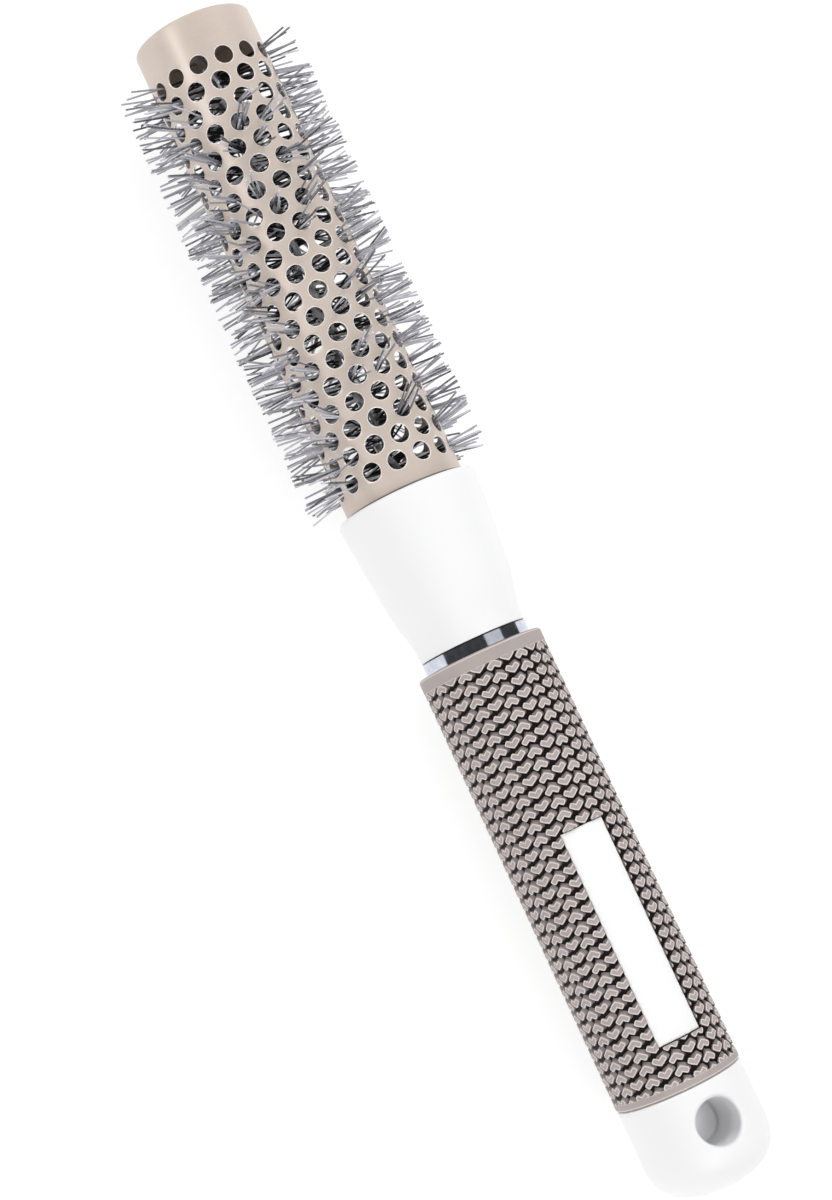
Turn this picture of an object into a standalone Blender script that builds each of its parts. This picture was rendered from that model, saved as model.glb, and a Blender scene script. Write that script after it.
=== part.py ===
"""Round barrel hairbrush: a vented metal barrel over a twisted-in-wire bristle insert, on a moulded
handle with a rubber sleeve. It is modelled standing on its tail, tip up, with the label window facing
+X, and an empty then lays it down: the tip points to -X, the window and hang hole face +Z, and the
origin is on the brush's axis at half its length."""

from math import cos, pi, radians, sin, tan

import bmesh
import bpy
from mathutils import Matrix, Vector

# Fits, in metres
FIT_GAP = 0.0003            # between pieces that seat on or in each other
SPOKE_CLEARANCE = 0.0004    # least room round a bristle stem in its vent

# Barrel tube
BARREL_RADIUS = 0.0125
BARREL_WALL = 0.0008
BARREL_SHOWN = 0.1047       # tip to collar
BARREL_TUCK = 0.0112        # held inside the collar
BARREL_LIP = 0.0005         # rounding of the tip edge
VENT_RADIUS = 0.00182
VENT_RINGS = 20
VENTS_PER_RING = 14
VENT_TO_TIP = 0.0105        # tip to the first ring's centre
VENT_TO_COLLAR = 0.0057     # last ring's centre to the collar

# Tip plug
PLUG_DISC = 0.0022
PLUG_BOSS_RADIUS = 0.0044
PLUG_BOSS = 0.0042

# Bristle insert
WIRE_RADIUS = 0.0008
WIRE_PITCH = 0.0125
WIRE_STEPS = 8              # points in each turn of the twist
HUB_WALL = 0.0013
HUB_GAP = 0.0014            # between one turn of bristles and the next
STEM_WIDTH = 0.0011
BRISTLE_RADIUS = 0.0196     # axis to the bristle ends
STEMS_PER_TURN = 7          # every second vent

# Collar and ring
COLLAR_LENGTH = 0.0323
COLLAR_STEP = 0.00225       # collar stands this far proud of the barrel
COLLAR_DRAFT = 0.0015       # its loss of radius up to the shoulder
COLLAR_SHOULDER = 0.0212    # front of the collar to the shoulder
COLLAR_FLARE = 0.0030       # straight stretch in front of the ring
COLLAR_EDGE = 0.0005
RING_RADIUS = 0.0111
RING_WIDTH = 0.0025
RING_WALL = 0.0016
RING_EDGE = 0.0004

# Handle core
CORE_WALL = 0.0028
SPIGOT_REACH = 0.0022       # spigot past the collar's front, inside the barrel
STEM_SEAT = 0.0150          # length of wire held in the spigot

# Sleeve, window and label
GRIP_RADIUS = 0.01315
GRIP_LENGTH = 0.0927
SLEEVE_WALL = 0.00225
GRIP_EDGE = 0.0006
WINDOW_START = 0.0386       # front of the sleeve to the window
WINDOW_LENGTH = 0.0446
WINDOW_WIDTH = 0.0100
LABEL_RECESS = 0.0005       # label face below the sleeve's face

# Tail cap
CAP_RADIUS = 0.0131
CAP_LENGTH = 0.0211
CAP_DOME = 0.0095
CAP_DOME_POWER = 2.4        # 2 is an ellipse, higher is squarer
CAP_EDGE = 0.0004
CAP_PLUG_LENGTH = 0.0090
HANG_RADIUS = 0.0041
HANG_TO_FRONT = 0.0075      # cap's front to the hole's centre

# Smoothness
BARREL_SIDES = 2 * VENTS_PER_RING
VENT_SIDES = 6
SIDES = 32
HANG_SIDES = 24
DOME_STEPS = 6

# Distances from the tip
COLLAR_AT = BARREL_SHOWN
RING_AT = COLLAR_AT + COLLAR_LENGTH
GRIP_AT = RING_AT + RING_WIDTH
CAP_AT = GRIP_AT + GRIP_LENGTH
TOTAL_LENGTH = CAP_AT + CAP_LENGTH
BARREL_LENGTH = BARREL_SHOWN + BARREL_TUCK

# Sizes that follow from the ones above
BARREL_BORE = BARREL_RADIUS - BARREL_WALL
VENT_PITCH = (BARREL_SHOWN - VENT_TO_TIP - VENT_TO_COLLAR) / (VENT_RINGS - 1)
WIRE_OFFSET = WIRE_RADIUS + 0.5 * FIT_GAP
WIRE_REACH = WIRE_OFFSET + WIRE_RADIUS
WIRE_SEAT_RADIUS = WIRE_REACH + FIT_GAP
HUB_BORE = WIRE_REACH + FIT_GAP
HUB_RADIUS = HUB_BORE + HUB_WALL
SLEEVE_BORE = GRIP_RADIUS - SLEEVE_WALL
CORE_GRIP_RADIUS = SLEEVE_BORE - FIT_GAP
CORE_BORE_RADIUS = CORE_GRIP_RADIUS - CORE_WALL
RING_BORE = RING_RADIUS - RING_WALL
CORE_NECK_RADIUS = RING_BORE - FIT_GAP


def clear_scene():
    for item in list(bpy.data.objects):
        bpy.data.objects.remove(item, do_unlink=True)


def new_collection(name):
    group = bpy.data.collections.new(name)
    bpy.context.scene.collection.children.link(group)
    return group


def new_material(name, color, roughness, metallic=0.0):
    material = bpy.data.materials.new(name)
    material.use_nodes = True
    shader = material.node_tree.nodes["Principled BSDF"]
    shader.inputs["Base Color"].default_value = (*color, 1.0)
    shader.inputs["Roughness"].default_value = roughness
    shader.inputs["Metallic"].default_value = metallic
    material.diffuse_color = (*color, 1.0)
    return material


def height(from_tip):
    """Height of a station while the brush stands on its tail, with half its length at zero."""
    return 0.5 * TOTAL_LENGTH - from_tip


def add_part(name, mesh, material):
    part = bpy.data.objects.new(name, mesh)
    parts.objects.link(part)
    part.parent = axis
    mesh.materials.append(material)
    return part


def add_cutter(name, mesh):
    cutter = bpy.data.objects.new(name, mesh)
    cutters.objects.link(cutter)
    cutter.parent = axis
    cutter.hide_render = True
    cutter.display_type = "WIRE"
    return cutter


def outline_mesh(name, outline, closed):
    """Edges through (distance from tip, radius) pairs, in the plane of the axis and +X."""
    mesh = bpy.data.meshes.new(name)
    points = [(radius, 0.0, height(from_tip)) for from_tip, radius in outline]
    edges = [(i, i + 1) for i in range(len(points) - 1)]
    if closed:
        edges.append((len(points) - 1, 0))
    mesh.from_pydata(points, edges, [])
    return mesh


def turned(name, outline, material, sides=SIDES, closed=True):
    """A turned piece. The outline runs down the outside from the tip end, then back up the bore."""
    part = add_part(name, outline_mesh(name, outline, closed), material)
    screw = part.modifiers.new("Turn", "SCREW")
    screw.angle = 2.0 * pi
    screw.steps = sides
    screw.render_steps = sides
    screw.use_merge_vertices = True
    screw.merge_threshold = 0.00001
    screw.use_normal_calculate = False
    screw.use_smooth_shade = True
    return part


def boolean(part, cutter, operation="DIFFERENCE"):
    step = part.modifiers.new(cutter.name, "BOOLEAN")
    step.operation = operation
    step.object = cutter
    step.solver = "EXACT"


def prism_mesh(name, radius, sides, low, high, place=None, turn=0.0):
    """Straight prism or cylinder along +X from low to high, moved by the matrix place."""
    mesh = bpy.data.meshes.new(name)
    shape = bmesh.new()
    middle = Matrix.Translation((0.5 * (low + high), 0.0, 0.0))
    lay = Matrix.Rotation(radians(90), 4, "Y") @ Matrix.Rotation(turn, 4, "Z")
    bmesh.ops.create_cone(
        shape, cap_ends=True, segments=sides, radius1=radius, radius2=radius,
        depth=high - low, matrix=(place or Matrix()) @ middle @ lay)
    shape.to_mesh(mesh)
    shape.free()
    return mesh


def box_mesh(name, low, high):
    mesh = bpy.data.meshes.new(name)
    shape = bmesh.new()
    size = Vector(high) - Vector(low)
    middle = 0.5 * (Vector(high) + Vector(low))
    place = Matrix.Translation(middle) @ Matrix.Diagonal((*size, 1.0))
    bmesh.ops.create_cube(shape, size=1.0, matrix=place)
    shape.to_mesh(mesh)
    shape.free()
    return mesh


def vent_angle(ring, index):
    """Alternate rings are turned by half a step, so the vents stand in a honeycomb."""
    return 2.0 * pi / VENTS_PER_RING * (index + 0.5 * (ring % 2))


def vent_height(ring):
    return height(VENT_TO_TIP + ring * VENT_PITCH)


def make_vent_cutter():
    mesh = bpy.data.meshes.new("vent_cutter")
    shape = bmesh.new()
    lay = Matrix.Rotation(radians(90), 4, "Y") @ Matrix.Rotation(radians(10), 4, "Z")
    low = BARREL_BORE - 2.0 * BARREL_WALL
    high = BARREL_RADIUS + 2.0 * BARREL_WALL
    for ring in range(VENT_RINGS):
        for index in range(VENTS_PER_RING):
            out = Matrix.Translation((0.5 * (low + high), 0.0, vent_height(ring)))
            place = Matrix.Rotation(vent_angle(ring, index), 4, "Z") @ out @ lay
            bmesh.ops.create_cone(
                shape, cap_ends=True, segments=VENT_SIDES, radius1=VENT_RADIUS,
                radius2=VENT_RADIUS, depth=high - low, matrix=place)
    shape.to_mesh(mesh)
    shape.free()
    return add_cutter("vent_cutter", mesh)


def make_barrel():
    outline = [
        (0.0, BARREL_RADIUS - BARREL_LIP), (BARREL_LIP, BARREL_RADIUS),
        (BARREL_LENGTH, BARREL_RADIUS), (BARREL_LENGTH, BARREL_BORE), (0.0, BARREL_BORE)]
    barrel = turned("barrel", outline, anodised, sides=BARREL_SIDES)
    boolean(barrel, make_vent_cutter())


def make_tip_cap():
    rim = BARREL_BORE - FIT_GAP
    boss_end = PLUG_DISC + PLUG_BOSS
    outline = [
        (0.0, 0.0), (0.0, rim), (PLUG_DISC, rim), (PLUG_DISC, PLUG_BOSS_RADIUS),
        (boss_end, PLUG_BOSS_RADIUS), (boss_end, WIRE_SEAT_RADIUS),
        (PLUG_DISC, WIRE_SEAT_RADIUS), (PLUG_DISC, 0.0)]
    turned("tip_cap", outline, plug_plastic, sides=BARREL_SIDES, closed=False)


def make_wires():
    """Two strands of the twisted core, half a turn apart, from the tip plug into the spigot."""
    end_room = WIRE_RADIUS + FIT_GAP    # a leaning end reaches past its centre
    start = height(PLUG_DISC + end_room)
    length = COLLAR_AT - SPIGOT_REACH + STEM_SEAT - PLUG_DISC - 2.0 * end_room
    count = round(length / WIRE_PITCH * WIRE_STEPS)
    for name, phase in (("core_wire_a", 0.0), ("core_wire_b", pi)):
        curve = bpy.data.curves.new(name, "CURVE")
        curve.dimensions = "3D"
        curve.bevel_depth = WIRE_RADIUS
        curve.bevel_resolution = 2
        curve.use_fill_caps = True
        curve.materials.append(steel)
        spline = curve.splines.new("POLY")
        spline.points.add(count)
        for i, point in enumerate(spline.points):
            along = length * i / count
            angle = 2.0 * pi * along / WIRE_PITCH + phase
            point.co = (WIRE_OFFSET * cos(angle), WIRE_OFFSET * sin(angle), start - along, 1.0)
        wire = bpy.data.objects.new(name, curve)
        parts.objects.link(wire)
        wire.parent = axis


def hub_mesh(name, width):
    """Ring with one flat side for each stem, and a stem drawn out of each flat side."""
    outer = HUB_RADIUS / cos(pi / STEMS_PER_TURN)
    inner = HUB_BORE / cos(pi / STEMS_PER_TURN)
    shape = bmesh.new()
    loops = []
    for radius, level in ((outer, 0.5), (outer, -0.5), (inner, -0.5), (inner, 0.5)):
        loop = []
        for i in range(STEMS_PER_TURN):
            angle = 2.0 * pi / STEMS_PER_TURN * (i - 0.5)
            loop.append(shape.verts.new((radius * cos(angle), radius * sin(angle), level * width)))
        loops.append(loop)
    for level, loop in enumerate(loops):
        after = loops[(level + 1) % len(loops)]
        for i in range(STEMS_PER_TURN):
            k = (i + 1) % STEMS_PER_TURN
            shape.faces.new((loop[i], after[i], after[k], loop[k]))
    shape.normal_update()
    sides = [face for face in shape.faces
             if face.calc_center_median().xy.length > HUB_RADIUS - 0.1 * HUB_WALL]
    side_width = 2.0 * HUB_RADIUS * tan(pi / STEMS_PER_TURN)
    inset = 0.5 * (side_width - STEM_WIDTH)
    bmesh.ops.inset_individual(shape, faces=sides, thickness=min(inset, 0.5 * (width - STEM_WIDTH)))
    for face in sides:
        out = face.normal.copy()
        side = Vector((0.0, 0.0, 1.0)).cross(out)
        for vert in face.verts:
            across = STEM_WIDTH * (0.5 if vert.co.dot(side) > 0.0 else -0.5)
            up = STEM_WIDTH * (0.5 if vert.co.z > 0.0 else -0.5)
            vert.co = HUB_RADIUS * out + across * side + Vector((0.0, 0.0, up))
    drawn = bmesh.ops.extrude_discrete_faces(shape, faces=sides)["faces"]
    for face in drawn:
        out = face.normal.copy()
        bmesh.ops.translate(shape, verts=face.verts, vec=out * (BRISTLE_RADIUS - HUB_RADIUS))
    mesh = bpy.data.meshes.new(name)
    shape.to_mesh(mesh)
    shape.free()
    return mesh


def make_bristle_turns():
    """One turn of bristles to each ring of vents. Four positions in turn use every vent's angle."""
    for ring in range(VENT_RINGS):
        name = f"bristle_turn_{ring + 1:02d}"
        turn = add_part(name, hub_mesh(name, VENT_PITCH - HUB_GAP), nylon)
        turn.location.z = vent_height(ring)
        turn.rotation_euler.z = vent_angle(ring, (ring // 2) % 2)


def make_collar():
    front = BARREL_RADIUS + COLLAR_STEP
    shoulder = front - COLLAR_DRAFT
    seat = COLLAR_AT + BARREL_TUCK + FIT_GAP
    end = RING_AT - FIT_GAP
    bend = COLLAR_AT + COLLAR_SHOULDER
    flare = end - COLLAR_FLARE
    slope = shoulder - RING_RADIUS
    outline = [
        (COLLAR_AT, front - COLLAR_EDGE), (COLLAR_AT + COLLAR_EDGE, front),
        (COLLAR_AT + 0.5 * COLLAR_SHOULDER, front - 0.45 * COLLAR_DRAFT),
        (bend, shoulder), (bend + 0.35 * (flare - bend), shoulder - 0.30 * slope),
        (flare, RING_RADIUS + 0.12 * slope), (end, RING_RADIUS),
        (end, RING_BORE), (seat, RING_BORE),
        (seat, BARREL_RADIUS + FIT_GAP), (COLLAR_AT, BARREL_RADIUS + FIT_GAP)]
    turned("neck_collar", outline, white_plastic)


def make_ring():
    end = GRIP_AT - FIT_GAP
    outline = [
        (RING_AT, RING_RADIUS - RING_EDGE), (RING_AT + RING_EDGE, RING_RADIUS),
        (end - RING_EDGE, RING_RADIUS), (end, RING_RADIUS - RING_EDGE),
        (end, RING_BORE), (RING_AT, RING_BORE)]
    turned("chrome_ring", outline, chrome)


def make_core():
    spigot = BARREL_BORE - FIT_GAP
    spigot_start = COLLAR_AT - SPIGOT_REACH
    spigot_end = COLLAR_AT + BARREL_TUCK - FIT_GAP
    seat_end = spigot_start + STEM_SEAT + FIT_GAP
    outline = [
        (spigot_start, spigot), (spigot_end, spigot), (spigot_end, CORE_NECK_RADIUS),
        (GRIP_AT, CORE_NECK_RADIUS), (GRIP_AT, CORE_GRIP_RADIUS),
        (CAP_AT - FIT_GAP, CORE_GRIP_RADIUS), (CAP_AT - FIT_GAP, CORE_BORE_RADIUS),
        (seat_end, CORE_BORE_RADIUS), (seat_end, WIRE_SEAT_RADIUS), (spigot_start, WIRE_SEAT_RADIUS)]
    turned("handle_core", outline, core_plastic)


def window_box(name, inset):
    """Block over the label window, smaller all round by inset."""
    side = 0.5 * WINDOW_WIDTH - inset
    top = height(GRIP_AT + WINDOW_START + inset)
    bottom = height(GRIP_AT + WINDOW_START + WINDOW_LENGTH - inset)
    mesh = box_mesh(name, (0.5 * GRIP_RADIUS, -side, bottom), (1.5 * GRIP_RADIUS, side, top))
    return add_cutter(name, mesh)


def make_sleeve():
    end = CAP_AT - FIT_GAP
    outline = [
        (GRIP_AT, GRIP_RADIUS - GRIP_EDGE), (GRIP_AT + GRIP_EDGE, GRIP_RADIUS),
        (end - GRIP_EDGE, GRIP_RADIUS), (end, GRIP_RADIUS - GRIP_EDGE),
        (end, SLEEVE_BORE), (GRIP_AT, SLEEVE_BORE)]
    sleeve = turned("grip_sleeve", outline, taupe_rubber)
    boolean(sleeve, window_box("window_cutter", 0.0))


def make_label():
    top = GRIP_AT + WINDOW_START - FIT_GAP
    bottom = top + WINDOW_LENGTH + 2.0 * FIT_GAP
    face = GRIP_RADIUS - LABEL_RECESS
    outline = [(top, face), (bottom, face), (bottom, SLEEVE_BORE), (top, SLEEVE_BORE)]
    label = turned("label_plate", outline, white_plastic, sides=2 * SIDES)
    boolean(label, window_box("label_keeper", FIT_GAP), "INTERSECT")


def make_tail_cap():
    dome_at = TOTAL_LENGTH - CAP_DOME
    plug = CORE_BORE_RADIUS - FIT_GAP
    outline = [
        (CAP_AT - CAP_PLUG_LENGTH, 0.0), (CAP_AT - CAP_PLUG_LENGTH, plug), (CAP_AT, plug),
        (CAP_AT, CAP_RADIUS - CAP_EDGE), (CAP_AT + CAP_EDGE, CAP_RADIUS)]
    for i in range(DOME_STEPS):
        angle = 0.5 * pi * i / DOME_STEPS
        radius = CAP_RADIUS * cos(angle) ** (2.0 / CAP_DOME_POWER)
        along = CAP_DOME * sin(angle) ** (2.0 / CAP_DOME_POWER)
        outline.append((dome_at + along, radius))
    outline.append((TOTAL_LENGTH, 0.0))
    cap = turned("tail_cap", outline, white_plastic, closed=False)
    place = Matrix.Translation((0.0, 0.0, height(CAP_AT + HANG_TO_FRONT)))
    reach = 1.5 * CAP_RADIUS
    hole = prism_mesh("hang_hole_cutter", HANG_RADIUS, HANG_SIDES, -reach, reach, place)
    boolean(cap, add_cutter("hang_hole_cutter", hole))


clear_scene()
parts = new_collection("round_barrel_brush")
cutters = new_collection("cutters")
axis = bpy.data.objects.new("brush_axis", None)
parts.objects.link(axis)
axis.rotation_euler.y = radians(-90)

anodised = new_material("champagne_metal", (0.68, 0.58, 0.50), 0.32, 0.85)
plug_plastic = new_material("tip_plastic", (0.55, 0.46, 0.40), 0.45)
steel = new_material("wire_steel", (0.55, 0.56, 0.58), 0.35, 1.0)
nylon = new_material("grey_nylon", (0.24, 0.25, 0.28), 0.35)
white_plastic = new_material("white_plastic", (0.90, 0.90, 0.90), 0.22)
chrome = new_material("chrome", (0.80, 0.80, 0.82), 0.08, 1.0)
core_plastic = new_material("core_plastic", (0.10, 0.10, 0.10), 0.50)
taupe_rubber = new_material("taupe_rubber", (0.44, 0.38, 0.36), 0.60)

make_barrel()
make_tip_cap()
make_wires()
make_bristle_turns()
make_collar()
make_ring()
make_core()
make_sleeve()
make_label()
make_tail_cap()
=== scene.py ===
from math import atan2, ceil, cos, pi, radians, sin, sqrt
from random import Random

import bmesh
import bpy
from mathutils import Matrix, Vector


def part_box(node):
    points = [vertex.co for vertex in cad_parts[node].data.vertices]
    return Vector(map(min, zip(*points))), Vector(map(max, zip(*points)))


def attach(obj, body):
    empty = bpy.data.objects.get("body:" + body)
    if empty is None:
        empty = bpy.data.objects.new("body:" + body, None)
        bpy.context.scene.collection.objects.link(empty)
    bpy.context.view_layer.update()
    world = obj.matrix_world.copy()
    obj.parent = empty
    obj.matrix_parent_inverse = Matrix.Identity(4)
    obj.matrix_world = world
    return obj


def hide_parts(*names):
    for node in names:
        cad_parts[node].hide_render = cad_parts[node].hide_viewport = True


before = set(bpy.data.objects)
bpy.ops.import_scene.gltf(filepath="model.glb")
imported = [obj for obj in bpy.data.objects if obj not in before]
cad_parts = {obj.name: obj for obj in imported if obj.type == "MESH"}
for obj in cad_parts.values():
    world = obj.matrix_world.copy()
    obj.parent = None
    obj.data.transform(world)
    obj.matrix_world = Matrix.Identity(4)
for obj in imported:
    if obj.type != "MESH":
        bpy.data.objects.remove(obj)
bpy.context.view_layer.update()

mm = 0.001
weld = 0.01 * mm           # points nearer than this become one
fineWeld = 0.0005 * mm     # and on turned pieces


# where things are along the brush, read from the frame

def station(node):
    low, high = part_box(node)
    return {"start": low[0], "end": high[0], "mid": 0.5 * (low[0] + high[0]),
            "radius": 0.5 * (high[1] - low[1])}


barrelAt = station("barrel")
collarAt = station("neck_collar")
ringAt = station("chrome_ring")
gripAt = station("grip_sleeve")
capAt = station("tail_cap")
capFront = gripAt["end"] + 0.06 * mm     # the cap's node itself starts inside the core
coreSeat = 9.5 * mm                      # inner radius of the ring and of the collar's rear, over the core
turnNodes = sorted(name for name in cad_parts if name.startswith("bristle_turn"))
turnStations = [station(name)["mid"] for name in turnNodes]
bristleReach = max(station(name)["radius"] for name in turnNodes)
print("frame read:", len(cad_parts), "nodes")


# shader helpers

class Socket:
    # an output socket that can be used in sums
    def __init__(self, tree, out):
        self.tree, self.out = tree, out

    def maths(self, operation, first, second=None):
        step = self.tree.nodes.new("ShaderNodeMath")
        step.operation = operation
        for slot, value in zip(step.inputs, (first, second)):
            if value is not None:
                feed(self.tree, slot, value)
        return Socket(self.tree, step.outputs[0])

    def __add__(self, other):
        return self.maths("ADD", self, other)

    def __sub__(self, other):
        return self.maths("SUBTRACT", self, other)

    def __rsub__(self, other):
        return self.maths("SUBTRACT", other, self)

    def __mul__(self, other):
        return self.maths("MULTIPLY", self, other)

    def __pow__(self, other):
        return self.maths("POWER", self, other)

    def __abs__(self):
        return self.maths("ABSOLUTE", self)

    def larger(self, other):
        return self.maths("MAXIMUM", self, other)

    __radd__ = __add__
    __rmul__ = __mul__


def feed(tree, slot, value):
    if isinstance(value, Socket):
        tree.links.new(value.out, slot)
    elif hasattr(slot.default_value, "__len__") and not hasattr(value, "__len__"):
        slot.default_value = [value] * len(slot.default_value)
    elif slot.type == "RGBA" and len(value) == 3:
        slot.default_value = (*value, 1.0)
    else:
        slot.default_value = value


class Finish:
    # one material: node() adds any node, and its settings go in before its sockets
    def __init__(self, name, **sockets):
        self.material = bpy.data.materials.new(name)
        self.material.use_nodes = True
        self.tree = self.material.node_tree
        self.shader = self.tree.nodes["Principled BSDF"]
        self.place = self.node("ShaderNodeTexCoord", out="Object")
        self.put(**sockets)

    def node(self, kind, settings=None, out=0, **sockets):
        step = self.tree.nodes.new(kind)
        for key, value in (settings or {}).items():
            if key == "stops":
                ramp = step.color_ramp
                while len(ramp.elements) < len(value):
                    ramp.elements.new(0.5)
                for stop, (at, color) in zip(ramp.elements, value):
                    stop.position = at
                    stop.color = (*color, 1.0)
            else:
                setattr(step, key, value)
        for key, value in sockets.items():
            numbered = key[0] == "i" and key[1:].isdigit()       # i0, i6: a socket by its number
            feed(self.tree, step.inputs[int(key[1:]) if numbered else key.replace("_", " ")], value)
        return Socket(self.tree, step.outputs[out])

    def put(self, **sockets):
        for key, value in sockets.items():
            feed(self.tree, self.shader.inputs[key.replace("_", " ")], value)

    def noise(self, scale, detail, roughness=0.5, stretch=None):
        where = self.place
        if stretch:
            where = self.node("ShaderNodeMapping", Vector=self.place, Scale=stretch)
        return self.node("ShaderNodeTexNoise", Vector=where, Scale=scale, Detail=detail, Roughness=roughness)

    def attribute(self, name):
        return self.node("ShaderNodeAttribute", {"attribute_name": name}, "Fac")

    def span(self, value, low, high, start=0.0, end=1.0):
        return self.node("ShaderNodeMapRange", {"clamp": True}, Value=value, **{
            "From_Min": low, "From_Max": high, "To_Min": start, "To_Max": end})

    def blend(self, amount, first, second):
        return self.node("ShaderNodeMix", {"data_type": "RGBA"}, 2, i0=amount, i6=first, i7=second)

    def cloudy(self, noise, name, low=0.35, high=0.65):
        # a colour that drifts between the two tints of that name
        return self.blend(self.span(noise, low, high), *tints[name])

    def bump(self, height, distance, strength, under=None):
        sockets = {"Height": height, "Distance": distance, "Strength": strength}
        if under:
            sockets["Normal"] = under
        return self.node("ShaderNodeBump", **sockets)

    def reach(self, keep, centre=(0, 0, 0)):
        # distance from a line through the centre: keep drops the direction that the line runs in
        away = self.node("ShaderNodeVectorMath", {"operation": "SUBTRACT"}, i0=self.place, i1=centre)
        away = self.node("ShaderNodeVectorMath", {"operation": "MULTIPLY"}, i0=away, i1=keep)
        return self.node("ShaderNodeVectorMath", {"operation": "LENGTH"}, "Value", i0=away)

    def axisRadius(self):
        return self.reach((0, 1, 1))

    def along(self):
        return self.node("ShaderNodeSeparateXYZ", out="X", Vector=self.place)


# modelling helpers

def selectOnly(*pieces):
    bpy.ops.object.select_all(action="DESELECT")
    for piece in pieces:
        piece.select_set(True)
    bpy.context.view_layer.objects.active = pieces[0]


def namedPiece(name):
    # the piece an add operator has just left active, with its place moved into its mesh
    piece = bpy.context.object
    piece.name = piece.data.name = name
    bpy.ops.object.transform_apply(location=True, rotation=True, scale=True)
    return piece


def edit(piece):
    selectOnly(piece)
    bpy.ops.object.mode_set(mode="EDIT")
    bpy.ops.mesh.select_all(action="SELECT")


def leaveEdit():
    bpy.ops.object.mode_set(mode="OBJECT")


def faceOutwards():
    bpy.ops.mesh.select_all(action="SELECT")
    bpy.ops.mesh.normals_make_consistent(inside=False)


def pick(piece, kind, test):
    # selects the edges or faces that pass a test, with the piece in edit mode
    bpy.ops.mesh.select_mode(type={"edges": "EDGE", "faces": "FACE"}[kind])
    bpy.ops.mesh.select_all(action="DESELECT")
    shape = bmesh.from_edit_mesh(piece.data)
    for part in getattr(shape, kind):
        if test(part):
            part.select_set(True)
    shape.select_flush_mode()
    bmesh.update_edit_mesh(piece.data)


def pickOpenRing(piece, x):
    # the open edge of a tube that stands at station x
    nearby = 0.05 * mm
    pick(piece, "edges", lambda e: e.is_boundary and all(abs(v.co.x - x) < nearby for v in e.verts))


def applyModifier(piece, kind, **settings):
    selectOnly(piece)
    step = piece.modifiers.new(kind.title(), kind)
    for key, value in settings.items():
        setattr(step, key, value)
    bpy.ops.object.modifier_apply(modifier=step.name)


def softEdges(piece, width, segments):
    applyModifier(piece, "BEVEL", width=width, segments=segments, limit_method="ANGLE",
                  angle_limit=radians(38), use_clamp_overlap=True)


def smooth(piece, angle=34):
    selectOnly(piece)
    bpy.ops.object.shade_smooth_by_angle(angle=radians(angle))


def drawOn(x, y, z):
    bpy.ops.mesh.extrude_region_move(TRANSFORM_OT_translate={"value": (x, y, z)})


def extrudeRings(outline):
    # draws the selected ring on through (station, radius) pairs
    (x, radius), following = outline[0], outline[1:]
    for nextX, nextRadius in following:
        drawOn(nextX - x, 0, 0)
        if nextRadius != radius:
            grow = nextRadius / radius
            bpy.ops.transform.resize(value=(1, grow, grow), center_override=(nextX, 0, 0))
        x, radius = nextX, nextRadius


def roundCorner(x, r, edge, away, angles):
    # from the side at radius r round to the end face at x; away is the way that the face looks
    return [(x - away * edge * (1 - sin(radians(a))), r - edge * (1 - cos(radians(a)))) for a in angles]


def turnPiece(name, outline, sides, capped=False):
    # a turned piece: a circle drawn along the axis, closed on itself or capped at both ends
    x, radius = outline[0]
    bpy.ops.object.select_all(action="DESELECT")
    bpy.ops.mesh.primitive_circle_add(vertices=sides, radius=radius, location=(x, 0, 0),
                                      rotation=(0, radians(90), 0))
    piece = namedPiece(name)
    edit(piece)
    if capped:
        bpy.ops.mesh.edge_face_add()
        extrudeRings(outline)
    else:
        extrudeRings(outline + outline[:1])
    bpy.ops.mesh.select_all(action="SELECT")
    bpy.ops.mesh.remove_doubles(threshold=fineWeld)
    faceOutwards()
    leaveEdit()
    return piece


def flatSheet(name, start, end, width, cells):
    # a grid on the ground between two stations
    bpy.ops.object.select_all(action="DESELECT")
    bpy.ops.mesh.primitive_grid_add(x_subdivisions=cells[0], y_subdivisions=cells[1], size=1,
                                    location=(0, 0, 0))
    bpy.ops.transform.resize(value=(end - start, width, 1), center_override=(0, 0, 0))
    bpy.ops.transform.translate(value=(0.5 * (start + end), 0, 0))
    return namedPiece(name)


def between(p, q, r, s, t):
    # one coordinate on a smooth curve from q to r, which comes from p and goes on to s
    return 0.5 * (2 * q + (r - p) * t + (2 * p - 5 * q + 4 * r - s) * t ** 2
                  + (3 * q - p - 3 * r + s) * t ** 3)


def curveThrough(points, steps):
    # more points on a smooth curve through the given ones
    ends = [points[0]] + points + [points[-1]]
    curve = []
    for a, b, c, d in zip(ends, ends[1:], ends[2:], ends[3:]):
        for i in range(steps):
            curve.append(tuple(between(p, q, r, s, i / steps) for p, q, r, s in zip(a, b, c, d)))
    return curve + [points[-1]]


def wrapRound(piece, radius):
    # rolls a flat sheet round the axis: y becomes arc length from the top, z becomes height above radius
    shape = bmesh.new()
    shape.from_mesh(piece.data)
    for vert in shape.verts:
        x, arc, lift = vert.co
        angle = arc / radius
        vert.co = (x, (radius + lift) * sin(angle), (radius + lift) * cos(angle))
    shape.to_mesh(piece.data)
    shape.free()


def storeRadius(piece):
    # each vertex's distance from the axis, so that a finish can follow the relief across flat faces
    layer = piece.data.attributes.new("turnRadius", "FLOAT", "POINT")
    layer.data.foreach_set("value", [sqrt(v.co.y ** 2 + v.co.z ** 2) for v in piece.data.vertices])


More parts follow.
